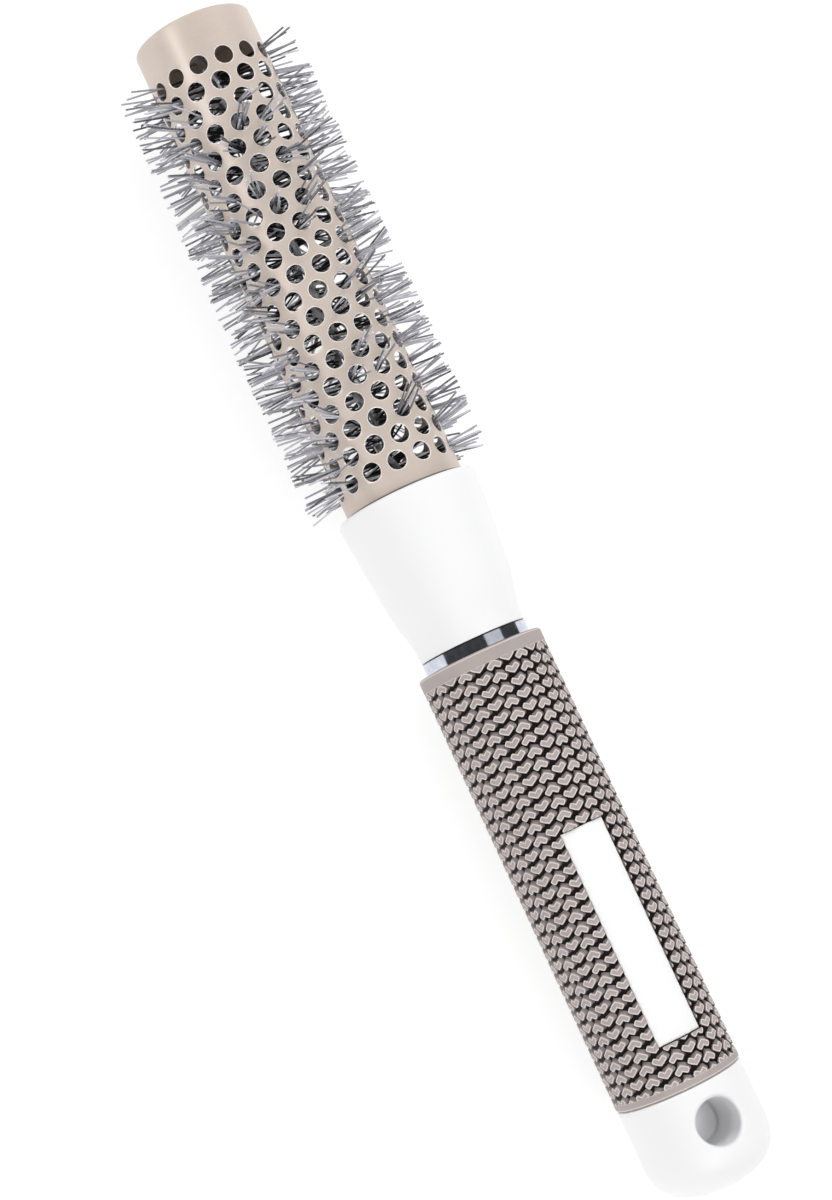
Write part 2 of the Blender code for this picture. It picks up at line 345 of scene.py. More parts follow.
def stampCopies(name, masters, places):
    # one mesh with a copy of a master mesh at every (master number, matrix) place
    shape = bmesh.new()
    for number, place in places:
        before = len(shape.verts)
        shape.from_mesh(masters[number])
        shape.verts.ensure_lookup_table()
        bmesh.ops.transform(shape, matrix=place, verts=shape.verts[before:])
    mesh = bpy.data.meshes.new(name)
    shape.to_mesh(mesh)
    shape.free()
    piece = bpy.data.objects.new(name, mesh)
    bpy.context.scene.collection.objects.link(piece)
    return piece


def joinInto(piece, *others):
    selectOnly(piece, *others)
    bpy.ops.object.join()
    return piece


def finishPiece(piece, finishes, node):
    for finish in finishes:
        piece.data.materials.append(finish.material)
    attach(piece, "root")
    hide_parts(node)
    print("made", piece.name, len(piece.data.polygons), "faces")


# finishes; each pair of tints runs from dull to bright

tints = {
    "champagne": ((0.640, 0.545, 0.475), (0.690, 0.590, 0.520)),
    # the barrel's dark line against the collar is a painted shadow
    "turningLine": (0.76, 0.67, 0.59), "collarShadow": (0.055, 0.040, 0.032),
    # the vent rims' tint holds a painted highlight as well as burnished metal
    "burnishedSheen": ((0.84, 0.78, 0.73), (0.97, 0.94, 0.91)),
    # the tube's inside is painted near black as shade
    "boreShade": ((0.010, 0.007, 0.007), (0.022, 0.017, 0.016)),
    "strandStreak": (0.62, 0.63, 0.66), "strandEnd": (0.62, 0.63, 0.65),
    "steel": ((0.42, 0.43, 0.45), (0.62, 0.63, 0.65)),
    "chrome": ((0.56, 0.59, 0.67), (0.64, 0.67, 0.75)),
    # the bore tint is the hang hole's inside, painted darker as shade
    "moulding": (0.94, 0.94, 0.943), "plate": (0.985, 0.985, 0.985), "bore": (0.80, 0.80, 0.81),
    "taupe": ((0.425, 0.370, 0.355), (0.465, 0.408, 0.390)),
    # between the hearts the tint is painted shade
    "grooveShade": (0.010, 0.005, 0.005), "heartRim": (0.77, 0.715, 0.70),
    "tipPlastic": ((0.50, 0.42, 0.36), (0.56, 0.47, 0.41)),
    "corePlastic": ((0.08, 0.08, 0.08), (0.12, 0.12, 0.12)),
    "paleFloor": ((0.33, 0.33, 0.33), (0.36, 0.36, 0.36)),
}
# strand greys outside the tube, and down in it, where they are painted dark as shade
strandRamp = [(0.0, (0.030, 0.030, 0.038)), (0.45, (0.315, 0.315, 0.365)), (1.0, (0.800, 0.800, 0.860))]
shadedStrandRamp = [(0.0, (0.008, 0.008, 0.010)), (0.68, (0.014, 0.014, 0.018)), (0.80, (0.900, 0.905, 0.940))]


def champagneFinish():
    # satin anodised tube: fine turning lines round it, a little cloud in the colour
    coat = Finish("champagneMetal", Metallic=0.22, Specular_IOR_Level=0.4)
    cloud = coat.noise(scale=90, detail=3)
    grain = coat.noise(scale=900, detail=2, roughness=0.6, stretch=(6, 0.6, 0.6))
    tone = coat.cloudy(cloud, "champagne")
    tone = coat.blend(coat.span(grain, 0.3, 0.7) * 0.25, tone, tints["turningLine"])
    collarShadowBand = coat.span(coat.along(), collarAt["start"] - 0.62 * mm, collarAt["start"] - 0.42 * mm)
    coat.put(Base_Color=coat.blend(collarShadowBand * 0.8, tone, tints["collarShadow"]))      # painted shadow line on the barrel just in front of the collar lip
    coat.put(Roughness=coat.span(grain, 0.3, 0.7, 0.34, 0.42), Normal=coat.bump(grain, 0.01 * mm, 0.25))
    return coat


def burnishedSheenFinish():
    # the rims of the vents and the tip edge: burnished metal, with a painted highlight in its near-white
    # colour
    edge = Finish("burnishedSheenEdge", Metallic=0.15, Coat_Weight=0.5, Coat_Roughness=0.12)
    wear = edge.noise(scale=1400, detail=2)
    edge.put(Base_Color=edge.cloudy(wear, "burnishedSheen", 0.35, 0.7))
    edge.put(Roughness=edge.span(wear, 0.3, 0.7, 0.22, 0.36))
    return edge


def boreFinish():
    # inside of the tube: unpolished, and painted near black as shade
    bore = Finish("darkBore", Specular_IOR_Level=0.2)
    boreShade = bore.noise(scale=260, detail=3)
    bore.put(Base_Color=bore.cloudy(boreShade, "boreShade", 0.3, 0.7), Roughness=bore.span(boreShade, 0.3, 0.7, 0.5, 0.7))
    return bore


def nylonFinish():
    # drawn nylon, each strand a slightly different grey, cut ends paler
    nylon = Finish("greyNylon", Coat_Roughness=0.12, Specular_IOR_Level=0.3)
    shade, radius = nylon.attribute("strandShade"), nylon.axisRadius()
    streak = nylon.noise(scale=2600, detail=1)
    tone = nylon.node("ShaderNodeValToRGB", {"stops": strandRamp}, i0=shade)
    tone = nylon.blend(nylon.span(streak, 0.4, 0.7) * 0.3, tone, tints["strandStreak"])
    ends = nylon.span(radius, bristleReach - 0.25 * mm, bristleReach)
    tone = nylon.blend(ends * 0.35, tone, tints["strandEnd"])
    # down in the tube the strands are painted dark as shade; only the clearest strands stay light
    shadedTone = nylon.node("ShaderNodeValToRGB", {"stops": shadedStrandRamp}, i0=shade)
    clear = nylon.span(radius, barrelAt["radius"] - 2.0 * mm, barrelAt["radius"] + 0.5 * mm)
    nylon.put(Base_Color=nylon.blend(clear, shadedTone, tone), Coat_Weight=clear * 0.7)
    nylon.put(Roughness=nylon.span(streak, 0.3, 0.7, 0.26, 0.40))
    return nylon


def steelFinish():
    wire = Finish("twistedSteel", Metallic=1.0)
    drawn = wire.noise(scale=1500, detail=2, stretch=(0.3, 1, 1))
    wire.put(Base_Color=wire.blend(drawn, *tints["steel"]), Roughness=wire.span(drawn, 0.3, 0.7, 0.28, 0.42))
    return wire


def whiteFinish(name, tint, gloss, holeAt=None, hole=None):
    # polished moulding: faint flow marks in the gloss and a very fine skin
    white = Finish(name, Specular_IOR_Level=0.35, Coat_Weight=0.12, Coat_Roughness=0.25)
    flow = white.noise(scale=45, detail=2, stretch=(0.35, 1, 1))
    skin = white.noise(scale=2400, detail=2)
    tone = white.blend(white.span(flow, 0.35, 0.65), tint, tuple(0.985 * c for c in tint))
    if hole:
        # the hang hole's inside is painted darker as shade
        across = white.reach((1, 1, 0), (holeAt, 0, 0))
        tone = white.blend(1 - white.span(across, hole, hole + 0.6 * mm), tone, tints["bore"])
    white.put(Base_Color=tone, Roughness=white.span(flow, 0.3, 0.7, gloss, gloss + 0.06))
    white.put(Normal=white.bump(skin, 0.004 * mm, 0.15, white.bump(flow, 0.05 * mm, 0.2)))
    return white


def chromeFinish():
    chrome = Finish("brightChrome", Metallic=1.0)
    haze = chrome.noise(scale=700, detail=2)
    chrome.put(Base_Color=chrome.cloudy(haze, "chrome", 0.4, 0.6))
    chrome.put(Roughness=chrome.span(haze, 0.35, 0.7, 0.09, 0.14))
    return chrome


def rubberFinish():
    # soft rubber: painted dark down in the grooves as shade, with the walls that face the key light painted
    # lit, and paler on the raised rim of each heart
    rubber = Finish("taupeRubber", Specular_IOR_Level=0.2)
    depth, along = rubber.attribute("turnRadius"), rubber.along()
    cloud = rubber.noise(scale=120, detail=3)
    grain = rubber.noise(scale=5200, detail=2)
    top, start, end = grip["top"], gripAt["start"], gripAt["end"]
    # painted shade: the deeper a point lies between the hearts, the darker it is
    rise = rubber.span(depth, grip["floor"] + 0.05 * mm, top - 0.10 * mm) ** 1.6
    ends = 1 - rubber.span(along, start + 0.6 * mm, start + 1.2 * mm)
    ends = ends + rubber.span(along, end - 1.2 * mm, end - 0.6 * mm)
    # painted light: walls that face the key light stay out of the painted shade, and so do the bands' ends
    rise = rise.larger(rubber.attribute("slope") * 0.68).larger(ends)
    tone = rubber.blend(rise, tints["grooveShade"], rubber.cloudy(cloud, "taupe"))
    # paler on the raised rim of each heart
    heartRim = rubber.span(depth, top - 0.045 * mm, top - 0.015 * mm)
    heartRim = heartRim * (1 - rubber.span(depth, top + 0.01 * mm, top + 0.02 * mm))
    rubber.put(Base_Color=rubber.blend(heartRim * 0.9, tone, tints["heartRim"]))
    rubber.put(Roughness=rubber.span(grain, 0.3, 0.7, 0.50, 0.64))
    rubber.put(Normal=rubber.bump(grain, 0.012 * mm, 0.35))
    return rubber


def mattFinish(name):
    matt = Finish(name)
    fleck = matt.noise(scale=400, detail=3)
    matt.put(Base_Color=matt.cloudy(fleck, name), Roughness=matt.span(fleck, 0.3, 0.7, 0.42, 0.56))
    matt.put(Normal=matt.bump(fleck, 0.02 * mm, 0.2))
    return matt


def floorFinish():
    paper = Finish("paleFloor", Specular_IOR_Level=0.1, Emission_Color=(1, 1, 1), Emission_Strength=0.76)
    fibre = paper.noise(scale=30, detail=4)
    paper.put(Base_Color=paper.blend(fibre, *tints["paleFloor"]), Roughness=0.7)
    return paper


# barrel: one cell of perforated sheet, repeated, rolled into a tube and given its wall

barrel = {
    "radius": barrelAt["radius"], "wall": 0.45 * mm, "lip": 0.75 * mm,
    "vent": 1.90 * mm, "rim": 0.18 * mm, "rimDrop": 0.10 * mm,     # the rim rolls inwards by rimDrop
    "perRing": 14, "rings": len(turnStations), "points": 24,
}


def cellEdge(number, width, length):
    # the points round a cell: four steps along each side and eight along each end
    halfSide, endSteps = 2, 8
    first, second = halfSide, halfSide + endSteps
    third = second + 2 * halfSide
    at = (number + halfSide) % barrel["points"] - halfSide
    if at <= first:
        return (0.5 * length * at / halfSide, 0.5 * width)
    if at <= second:
        return (0.5 * length, width * (0.5 - (at - first) / endSteps))
    if at <= third:
        return (0.5 * length * (1 - (at - second) / halfSide), -0.5 * width)
    return (-0.5 * length, width * ((at - third) / endSteps - 0.5))


def makeCell(x, width, pitch):
    # a vent's rolled rim, then the sheet round it out to the cell's edge
    around, rim, centre = barrel["points"], barrel["vent"] + barrel["rim"], Vector((x, 0))
    bpy.ops.object.select_all(action="DESELECT")
    bpy.ops.mesh.primitive_circle_add(vertices=around, radius=barrel["vent"],
                                      location=(x, 0, -barrel["rimDrop"]))
    piece = namedPiece("barrelTube")
    edit(piece)
    drawOn(0, 0, barrel["rimDrop"])
    grow = rim / barrel["vent"]
    bpy.ops.transform.resize(value=(grow, grow, 1), center_override=(x, 0, 0))
    drawOn(0, 0, 0)
    leaveEdit()
    for vert in piece.data.vertices[2 * around:]:
        angle = atan2(vert.co.y, vert.co.x - x)
        along, across = cellEdge(round((pi / 2 - angle) / (2 * pi / around)), width, pitch)
        vert.co = (x + along, across, 0)

    def isSpoke(edge):
        middle = sum((vert.co.xy - centre).length for vert in edge.verts) / 2
        return middle > rim + 0.5 * barrel["rim"] and not edge.is_boundary

    edit(piece)
    pick(piece, "edges", isSpoke)
    bpy.ops.mesh.subdivide(number_cuts=1)      # a ring between keeps the rolled surface round
    leaveEdit()
    for face in piece.data.polygons:
        face.material_index = 1 if (Vector(face.center[:2]) - centre).length < rim else 0
    return piece


def makeBarrel():
    r, tip, first, last = barrel["radius"], barrelAt["start"], turnStations[0], turnStations[-1]
    pitch = (last - first) / (barrel["rings"] - 1)
    width = 2 * pi * r / barrel["perRing"]
    piece = makeCell(first, width, pitch)
    for count, step in ((barrel["perRing"], (0, width, 0)), (barrel["rings"], (pitch, 0.5 * width, 0))):
        applyModifier(piece, "ARRAY", count=count, use_relative_offset=False, use_constant_offset=True,
                      constant_offset_displace=step)
    wrapRound(piece, r)
    edit(piece)
    bpy.ops.mesh.remove_doubles(threshold=weld)
    front, rear = first - 0.5 * pitch, last + 0.5 * pitch
    pickOpenRing(piece, front)
    lip = roundCorner(tip, r, barrel["lip"], -1, (0, 18, 36, 54, 72, 90))
    extrudeRings([(front, r), (0.5 * (front + tip), r)] + lip)
    pickOpenRing(piece, rear)
    extrudeRings([(rear, r), (barrelAt["end"], r)])
    faceOutwards()
    leaveEdit()
    applyModifier(piece, "SOLIDIFY", thickness=barrel["wall"], offset=-1, material_offset=2,
                  material_offset_rim=1)
    smooth(piece, 30)
    darkBore = boreFinish()
    finishes = [champagneFinish(), burnishedSheenFinish(), darkBore, darkBore]
    finishPiece(piece, finishes, "barrel")


makeBarrel()


# tip plug, seen only from the front: dished disc with a raised boss and a centre dimple

plug = {
    "inset": 0.05 * mm, "gap": 0.12 * mm, "rim": 1.3 * mm, "depth": 2.2 * mm, "pole": 0.25 * mm,
    "dish": 0.45 * mm, "dishSlope": 0.4 * mm, "boss": 3.4 * mm, "bossAt": 0.15 * mm, "bossSlope": 0.5 * mm,
    "dimple": 1.2 * mm, "dimpleAt": 0.3 * mm, "pin": 0.7 * mm, "pinAt": 0.9 * mm,
    "stem": 4.4 * mm, "stemEnd": 4.2 * mm, "edge": 0.14 * mm, "sides": 72,
}


def makeTipPlug():
    x = barrelAt["start"] + plug["inset"]
    r = barrel["radius"] - barrel["wall"] - plug["gap"]
    inner, back, tail = r - plug["rim"], x + plug["depth"], x + 2 * plug["depth"]
    outline = [
        (x + plug["pinAt"], plug["pole"]), (x + plug["pinAt"], plug["pin"]),
        (x + plug["dimpleAt"], plug["dimple"]), (x + plug["bossAt"], plug["boss"]),
        (x + plug["dish"], plug["boss"] + plug["bossSlope"]), (x + plug["dish"], inner - plug["dishSlope"]),
        (x, inner), (x, r), (back, r), (back, plug["stem"]), (tail, plug["stemEnd"]), (tail, plug["pole"])]
    piece = turnPiece("tipPlug", outline, plug["sides"], capped=True)
    softEdges(piece, plug["edge"], 2)
    smooth(piece)
    finishPiece(piece, [mattFinish("tipPlastic")], "tip_cap")


makeTipPlug()


# bristles: one strand is modelled straight and twice bent, then copied through every vent

bristle = {
    "radius": 0.205 * mm, "sides": 6, "sections": (0.34, 0.67, 1.0), "bends": (0.0, 1.4, 2.8),
    "root": 1.1 * mm, "reach": bristleReach + 0.30 * mm, "trim": 0.55 * mm, "margin": 0.25 * mm,
    "strands": (3, 4, 5, 5, 6, 7), "frontStrands": (0, 0, 0, 3, 4, 6),       # through one vent, at random
    "lean": 2.2 * mm, "sway": 1.0 * mm, "mostSway": 1.4 * mm,
    "groupLean": 0.7, "groupSway": 0.8, "stray": 0.45, "frontStray": 0.25,   # shares of lean and sway
    "front": 0.75, "bare": {0: (-1.2, 0.8), 1: (-0.5, 0.5)},                 # angles from the top
    "tones": (0.08, 0.32, 0.5, 0.62, 0.78, 0.93), "toneDrift": 0.1, "seed": 24,
}


def makeStrand(bend):
    # unit strand: radius 1, length 1, bowed sideways by bend radii at its middle
    bpy.ops.object.select_all(action="DESELECT")
    bpy.ops.mesh.primitive_circle_add(vertices=bristle["sides"], radius=1, fill_type="NGON",
                                      location=(0, 0, 0))
    strand = namedPiece("strand")
    edit(strand)
    done = 0.0
    for along in bristle["sections"]:
        drawOn(4 * bend * (along * (1 - along) - done * (1 - done)), 0, along - done)
        done = along
    faceOutwards()
    leaveEdit()
    mesh = strand.data
    bpy.data.objects.remove(strand)
    return mesh


def strandLength(root, way, reach):
    # how far a strand runs from its root before it is the reach away from the axis
    flat, rootFlat = Vector((0, way.y, way.z)), Vector((0, root.y, root.z))
    a, b, c = flat.dot(flat), 2 * flat.dot(rootFlat), rootFlat.dot(rootFlat) - reach ** 2
    return (-b + sqrt(b * b - 4 * a * c)) / (2 * a)


def strandPlaces(chance, x, ring):
    # the strands through one vent lean and sway as a group, and each strays a little from it
    places = []
    step = 2 * pi / barrel["perRing"]
    room = barrel["vent"] - bristle["radius"] - bristle["margin"]
    most = bristle["mostSway"]
    bareFrom, bareTo = bristle["bare"].get(ring, (0, 0))
    for index in range(barrel["perRing"]):
        angle = step * (index + 0.5 * (ring % 2))
        out = Vector((0, sin(angle), cos(angle)))
        across = Vector((0, cos(angle), -sin(angle)))
        groupLean = chance.gauss(0, bristle["groupLean"] * bristle["lean"])
        groupSway = chance.gauss(0, bristle["groupSway"] * bristle["sway"])
        side = (angle + pi) % (2 * pi) - pi
        facesFront = abs(side) < bristle["front"]
        count = chance.choice(bristle["frontStrands" if facesFront else "strands"])
        if bareFrom < side < bareTo:
            count = 0
        stray = bristle["frontStray" if facesFront else "stray"]
        for _ in range(count):
            lean = groupLean + chance.gauss(0, stray * bristle["lean"])
            sway = max(-most, min(most, groupSway + chance.gauss(0, stray * bristle["sway"])))
            root = Vector((x - lean, 0, 0)) - across * sway + out * bristle["root"]
            spread, where = room * sqrt(chance.random()), chance.uniform(0, 2 * pi)
            vent = Vector((x + spread * cos(where), 0, 0)) + across * spread * sin(where)
            vent += out * sqrt(barrel["radius"] ** 2 - (spread * sin(where)) ** 2)
            way = (vent - root).normalized()
            length = strandLength(root, way, bristle["reach"] - chance.uniform(0, bristle["trim"]))
            twist = Matrix.Rotation(chance.uniform(0, 2 * pi), 4, "Z")
            size = Matrix.Diagonal((bristle["radius"], bristle["radius"], length, 1))
            place = Matrix.Translation(root) @ way.to_track_quat("Z", "X").to_matrix().to_4x4() @ twist @ size
            places.append((chance.randrange(len(bristle["bends"])), place))
    return places


def makeBristles():
    chance = Random(bristle["seed"])
    nylon = nylonFinish()
    masters = [makeStrand(bend) for bend in bristle["bends"]]
    perStrand, drift = len(masters[0].vertices), bristle["toneDrift"]
    for ring, (node, x) in enumerate(zip(turnNodes, turnStations)):
        places = strandPlaces(chance, x, ring)
        piece = stampCopies(f"bristles_{ring + 1:02d}", masters, places)
        shade = piece.data.attributes.new("strandShade", "FLOAT", "POINT")
        tones = [chance.choice(bristle["tones"]) + chance.uniform(-drift, drift) for _ in places]
        shade.data.foreach_set("value", [tone for tone in tones for _ in range(perStrand)])
        smooth(piece, 65)
        finishPiece(piece, [nylon], node)


makeBristles()


# collar: white, barrel-wide at the front, waisted down to the chrome ring

collar = {
    "sink": 0.18 * mm, "edge": 0.75 * mm, "proud": 0.02 * mm, "step": 0.3 * mm, "ease": 0.03 * mm,
    "sides": 112, "curveSteps": 4,
    # share of the length, and how far in from the front's radius or out from the back's
    "fall": ((0.16, 0.22 * mm), (0.36, 0.78 * mm), (0.56, 1.38 * mm), (0.66, 1.75 * mm), (0.74, 2.25 * mm)),
    "waist": ((0.82, 0.75 * mm), (0.90, 0.22 * mm)),
}


def makeCollar():
    start, end = collarAt["start"], collarAt["end"]
    long = end - start
    front, back = collarAt["radius"], ringAt["radius"] + collar["proud"]
    side = [(start + collar["edge"], front)]
    side += [(start + share * long, front - drop) for share, drop in collar["fall"]]
    side += [(start + share * long, back + lift) for share, lift in collar["waist"]]
    side.append((end, back))
    bore, seat = barrel["radius"] + collar["sink"], barrelAt["end"] + collar["step"]
    inside = [(end, coreSeat), (seat, coreSeat), (seat, bore), (start, bore)]
    corner = roundCorner(start, front, collar["edge"], -1, (80, 60, 40, 20))
    outline = corner + curveThrough(side, collar["curveSteps"]) + inside
    piece = turnPiece("collar", outline, collar["sides"])
    softEdges(piece, collar["ease"], 2)
    smooth(piece)
    white = whiteFinish("whiteGloss", tints["moulding"], gloss=0.36)
    finishPiece(piece, [white], "neck_collar")


makeCollar()


# chrome ring

chromeRing = {"gap": 0.05 * mm, "edge": 0.12 * mm, "sides": 128}


def makeRing():
    start, end, r = ringAt["start"], gripAt["start"] - chromeRing["gap"], ringAt["radius"]
    edge = chromeRing["edge"]
    outline = [(start, r), (end - edge, r), (end, r - edge), (end, coreSeat), (start, coreSeat)]
    piece = turnPiece("chromeRing", outline, chromeRing["sides"])
    smooth(piece)
    finishPiece(piece, [chromeFinish()], "chrome_ring")


makeRing()


# sleeve: a tube with plain end bands and a window, covered in raised hearts

grip = {
    "top": gripAt["radius"], "floor": gripAt["radius"] - 0.68 * mm,     # hearts' tops, and between them
    "wall": 1.0 * mm, "cells": (24, 120),
    "frontBand": 3.0 * mm, "rearBand": 1.75 * mm, "bandRise": 0.03 * mm, "bandEdge": 0.55 * mm,
    "bandStep": 0.10 * mm, "bandLip": 0.08 * mm,                           # the bands' inner shoulders
    "pairs": 13, "rowPitch": 2.655 * mm, "firstRow": 3.1 * mm, "turn": radians(2.1),
    "frontClear": 2.3 * mm, "rearClear": 1.0 * mm,
    "stagger": 0.55 * mm,                  # inverted hearts stand this much nearer the tail
}
heart = {
    "half": [(0.00, -0.38), (0.44, -0.70), (0.84, -0.94), (1.08, -0.86), (1.48, -0.42), (1.57, -0.18),
             (1.44, 0.05), (0.74, 0.57)],   # right half, mm, point towards the tail
    "point": (0.0, 0.98), "sink": 0.12 * mm, "edge": 0.05 * mm, "rim": 0.17 * mm, "dip": 0.06 * mm,
    "long": 1.25 * mm, "wide": 1.70 * mm,  # from its middle to clear of its outline
    "foot": 0.03 * mm, "sloped": 0.95 * mm,            # how far the foot spreads, and on its sloping side
    "slopeFaces": Vector((-0.7, 0.7, 0)), "slopeGain": 1.5, "slopeFrom": 0.2,
}
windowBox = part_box("label_plate")
window = {
    "start": windowBox[0][0] - 0.3 * mm, "end": windowBox[1][0] + 0.3 * mm,
    "side": 5.0 * mm,                      # half its width, as arc length
}


def makeHeart():
    # flat outline from a circle, drawn up, its top rounded over and dished; the point faces +X
    points = heart["half"] + [heart["point"]] + [(-x, y) for x, y in reversed(heart["half"][1:])]
    bpy.ops.object.select_all(action="DESELECT")
    bpy.ops.mesh.primitive_circle_add(vertices=len(points), radius=mm, fill_type="NGON", location=(0, 0, 0))
    piece = namedPiece("heart")
    for vert, (across, along) in zip(piece.data.vertices, points):
        vert.co = (along * mm, -across * mm, 0)
    rise, edge = grip["top"] - grip["floor"] + heart["sink"], heart["edge"]
    edit(piece)
    bpy.ops.mesh.normals_make_consistent(inside=False)
    drawOn(0, 0, rise - edge)
    bpy.ops.mesh.inset(thickness=edge, depth=edge)
    bpy.ops.mesh.inset(thickness=heart["rim"], depth=0)
    bpy.ops.mesh.inset(thickness=edge, depth=-heart["dip"])
    faceOutwards()
    leaveEdit()
    # the foot spreads, most on its sloping side, so an inverted heart needs its own master
    masters = []
    for turned in (1, -1):
        mesh = piece.data.copy()
        # slope marks how far each wall faces the key light; the rubber finish paints those walls lit
        slope = mesh.attributes.new("slope", "FLOAT", "POINT")
        for vert in mesh.vertices:
            vert.co = (turned * vert.co.x, turned * vert.co.y, vert.co.z)
            away = Vector((vert.co.x, vert.co.y, 0)).normalized()
            facing = heart["slopeGain"] * away.dot(heart["slopeFaces"]) - heart["slopeFrom"]
            facing = min(1.0, max(0.0, facing))
            if vert.co.z < rise - 0.5 * edge:
                slope.data[vert.index].value = facing
            if vert.co.z < edge:
                vert.co += away * (heart["foot"] + (heart["sloped"] - heart["foot"]) * facing)
            vert.co.z -= rise
        masters.append(mesh)
    bpy.data.objects.remove(piece)
    return masters


def heartSheets():
    # hearts sorted by how they meet the window; each sorted sheet is cut by one plane
    sheets = {"clear": [], "left": [], "right": [], "front": [], "rear": []}
    top, start, end = grip["top"], gripAt["start"], gripAt["end"]
    columns, rows = 2 * grip["pairs"], ceil((end - start) / grip["rowPitch"])
    middle, half = 0.5 * (window["start"] + window["end"]), 0.5 * (window["end"] - window["start"])
    side, long, wide = window["side"], heart["long"], heart["wide"]
    for column in range(columns):
        arc = top * (2 * pi * column / columns + grip["turn"])
        arc = (arc + pi * top) % (2 * pi * top) - pi * top
        inverted = column % 2 == 1
        for row in range(-1, rows + 1):
            x = start + grip["firstRow"] + grip["rowPitch"] * row + (grip["stagger"] if inverted else 0)
            if not start + grip["frontClear"] < x < end - grip["rearClear"]:
                continue
            place = (int(inverted), Matrix.Translation((x, arc, 0)))
            offX, offY = abs(x - middle), abs(arc)
            if offX >= half + long or offY >= side + wide:
                sheets["clear"].append(place)
            elif offX < half - long and offY < side - wide:
                continue
            elif offX < half and offY >= side - wide:
                sheets["left" if arc < 0 else "right"].append(place)
            else:
                sheets["front" if x < middle else "rear"].append(place)
    return sheets


def makeHearts():
    masters = makeHeart()
    side = window["side"]
    cuts = {"left": ((0, -side, 0), (0, 1, 0)), "right": ((0, side, 0), (0, -1, 0)),
            "front": ((window["start"], 0, 0), (1, 0, 0)), "rear": ((window["end"], 0, 0), (-1, 0, 0))}
    sheets = []
    for name, places in heartSheets().items():
        sheet = stampCopies(name, masters, places)
        if name in cuts:
            edit(sheet)
            point, normal = cuts[name]
            bpy.ops.mesh.bisect(plane_co=point, plane_no=normal, use_fill=True, clear_outer=True)
            leaveEdit()
        sheets.append(sheet)
    hearts = joinInto(*sheets)
    wrapRound(hearts, grip["top"])
    return hearts


def makeSleeve():
    hearts = makeHearts()
    # the tube: a flat sheet with the window cut out, rolled up, its ends drawn out into bands
    floor = grip["floor"]
    start, end = gripAt["start"] + grip["frontBand"], gripAt["end"] - grip["rearBand"]
    piece = flatSheet("gripSleeve", start, end, 2 * pi * floor, grip["cells"])
    side = window["side"] * floor / grip["top"]
    edit(piece)
    for point, normal in (((window["start"], 0, 0), (1, 0, 0)), ((window["end"], 0, 0), (1, 0, 0)),
                          ((0, -side, 0), (0, 1, 0)), ((0, side, 0), (0, 1, 0))):
        bpy.ops.mesh.select_all(action="SELECT")
        bpy.ops.mesh.bisect(plane_co=point, plane_no=normal)
    pick(piece, "faces", lambda f: window["start"] < f.calc_center_median().x < window["end"]
         and abs(f.calc_center_median().y) < side)
    bpy.ops.mesh.delete(type="FACE")
    leaveEdit()
    wrapRound(piece, floor)
    edit(piece)
    bpy.ops.mesh.remove_doubles(threshold=weld)
    top, step, lip = grip["top"] + grip["bandRise"], grip["bandStep"], grip["bandLip"]
    for here, away, limit in ((start, -1, gripAt["start"]), (end, 1, gripAt["end"])):
        pickOpenRing(piece, here)
        shoulder = [(here, floor), (here + away * step, top - lip), (here + 2 * away * step, top)]
        corner = roundCorner(limit, top, grip["bandEdge"], away, (0, 22, 45, 68, 90))
        extrudeRings(shoulder + corner + [(limit, floor - grip["wall"])])
    faceOutwards()
    leaveEdit()
    applyModifier(piece, "SOLIDIFY", thickness=grip["wall"], offset=-1)
    joinInto(piece, hearts)
    storeRadius(piece)
    smooth(piece, 32)
    finishPiece(piece, [rubberFinish()], "grip_sleeve")


makeSleeve()


# label plate: blank, set a little below the hearts

label = {"below": 0.60 * mm, "side": 4.75 * mm, "longer": 0.15 * mm, "thick": 0.9 * mm, "edge": 0.12 * mm,
         "cells": (8, 14)}


def makeLabel():
    low, high = windowBox
    start, end = low[0] - label["longer"], high[0] + label["longer"]
    piece = flatSheet("labelPlate", start, end, 2 * label["side"], label["cells"])
    edit(piece)
    drawOn(0, 0, -label["thick"])
    faceOutwards()
    leaveEdit()
    softEdges(piece, label["edge"], 3)
    wrapRound(piece, grip["top"] - label["below"])
    smooth(piece)
    white = whiteFinish("labelWhite", tints["plate"], gloss=0.40)
    finishPiece(piece, [white], "label_plate")


makeLabel()


# tail cap: domed, with a hang hole that narrows a little at mid depth

cap = {
    "dome": 9.5 * mm, "power": 2.4, "sides": 112, "domeSteps": 20, "sideSteps": 11, "pole": 0.3 * mm,
    "recess": 0.9 * mm, "recessWall": 2.4 * mm, "land": 2.0 * mm, "edge": 0.35 * mm, "edgeMiddle": 0.12 * mm,
    "holeAt": capFront + 7.9 * mm, "hole": 4.55 * mm, "far": 4.6 * mm, "ease": 1.0 * mm,
    "ledge": 4.15 * mm, "ledgeHalf": 0.2 * mm, "ledgeTop": 0.5 * mm, "ledgeFoot": 0.55 * mm,
    "holeSides": 80, "fullBend": 0.6,        # share of the radius from which the hole follows the round side
    "past": 4.0 * mm, "flare": 3.2 * mm,     # the cutter goes on this far past the cap, and widens this much
}


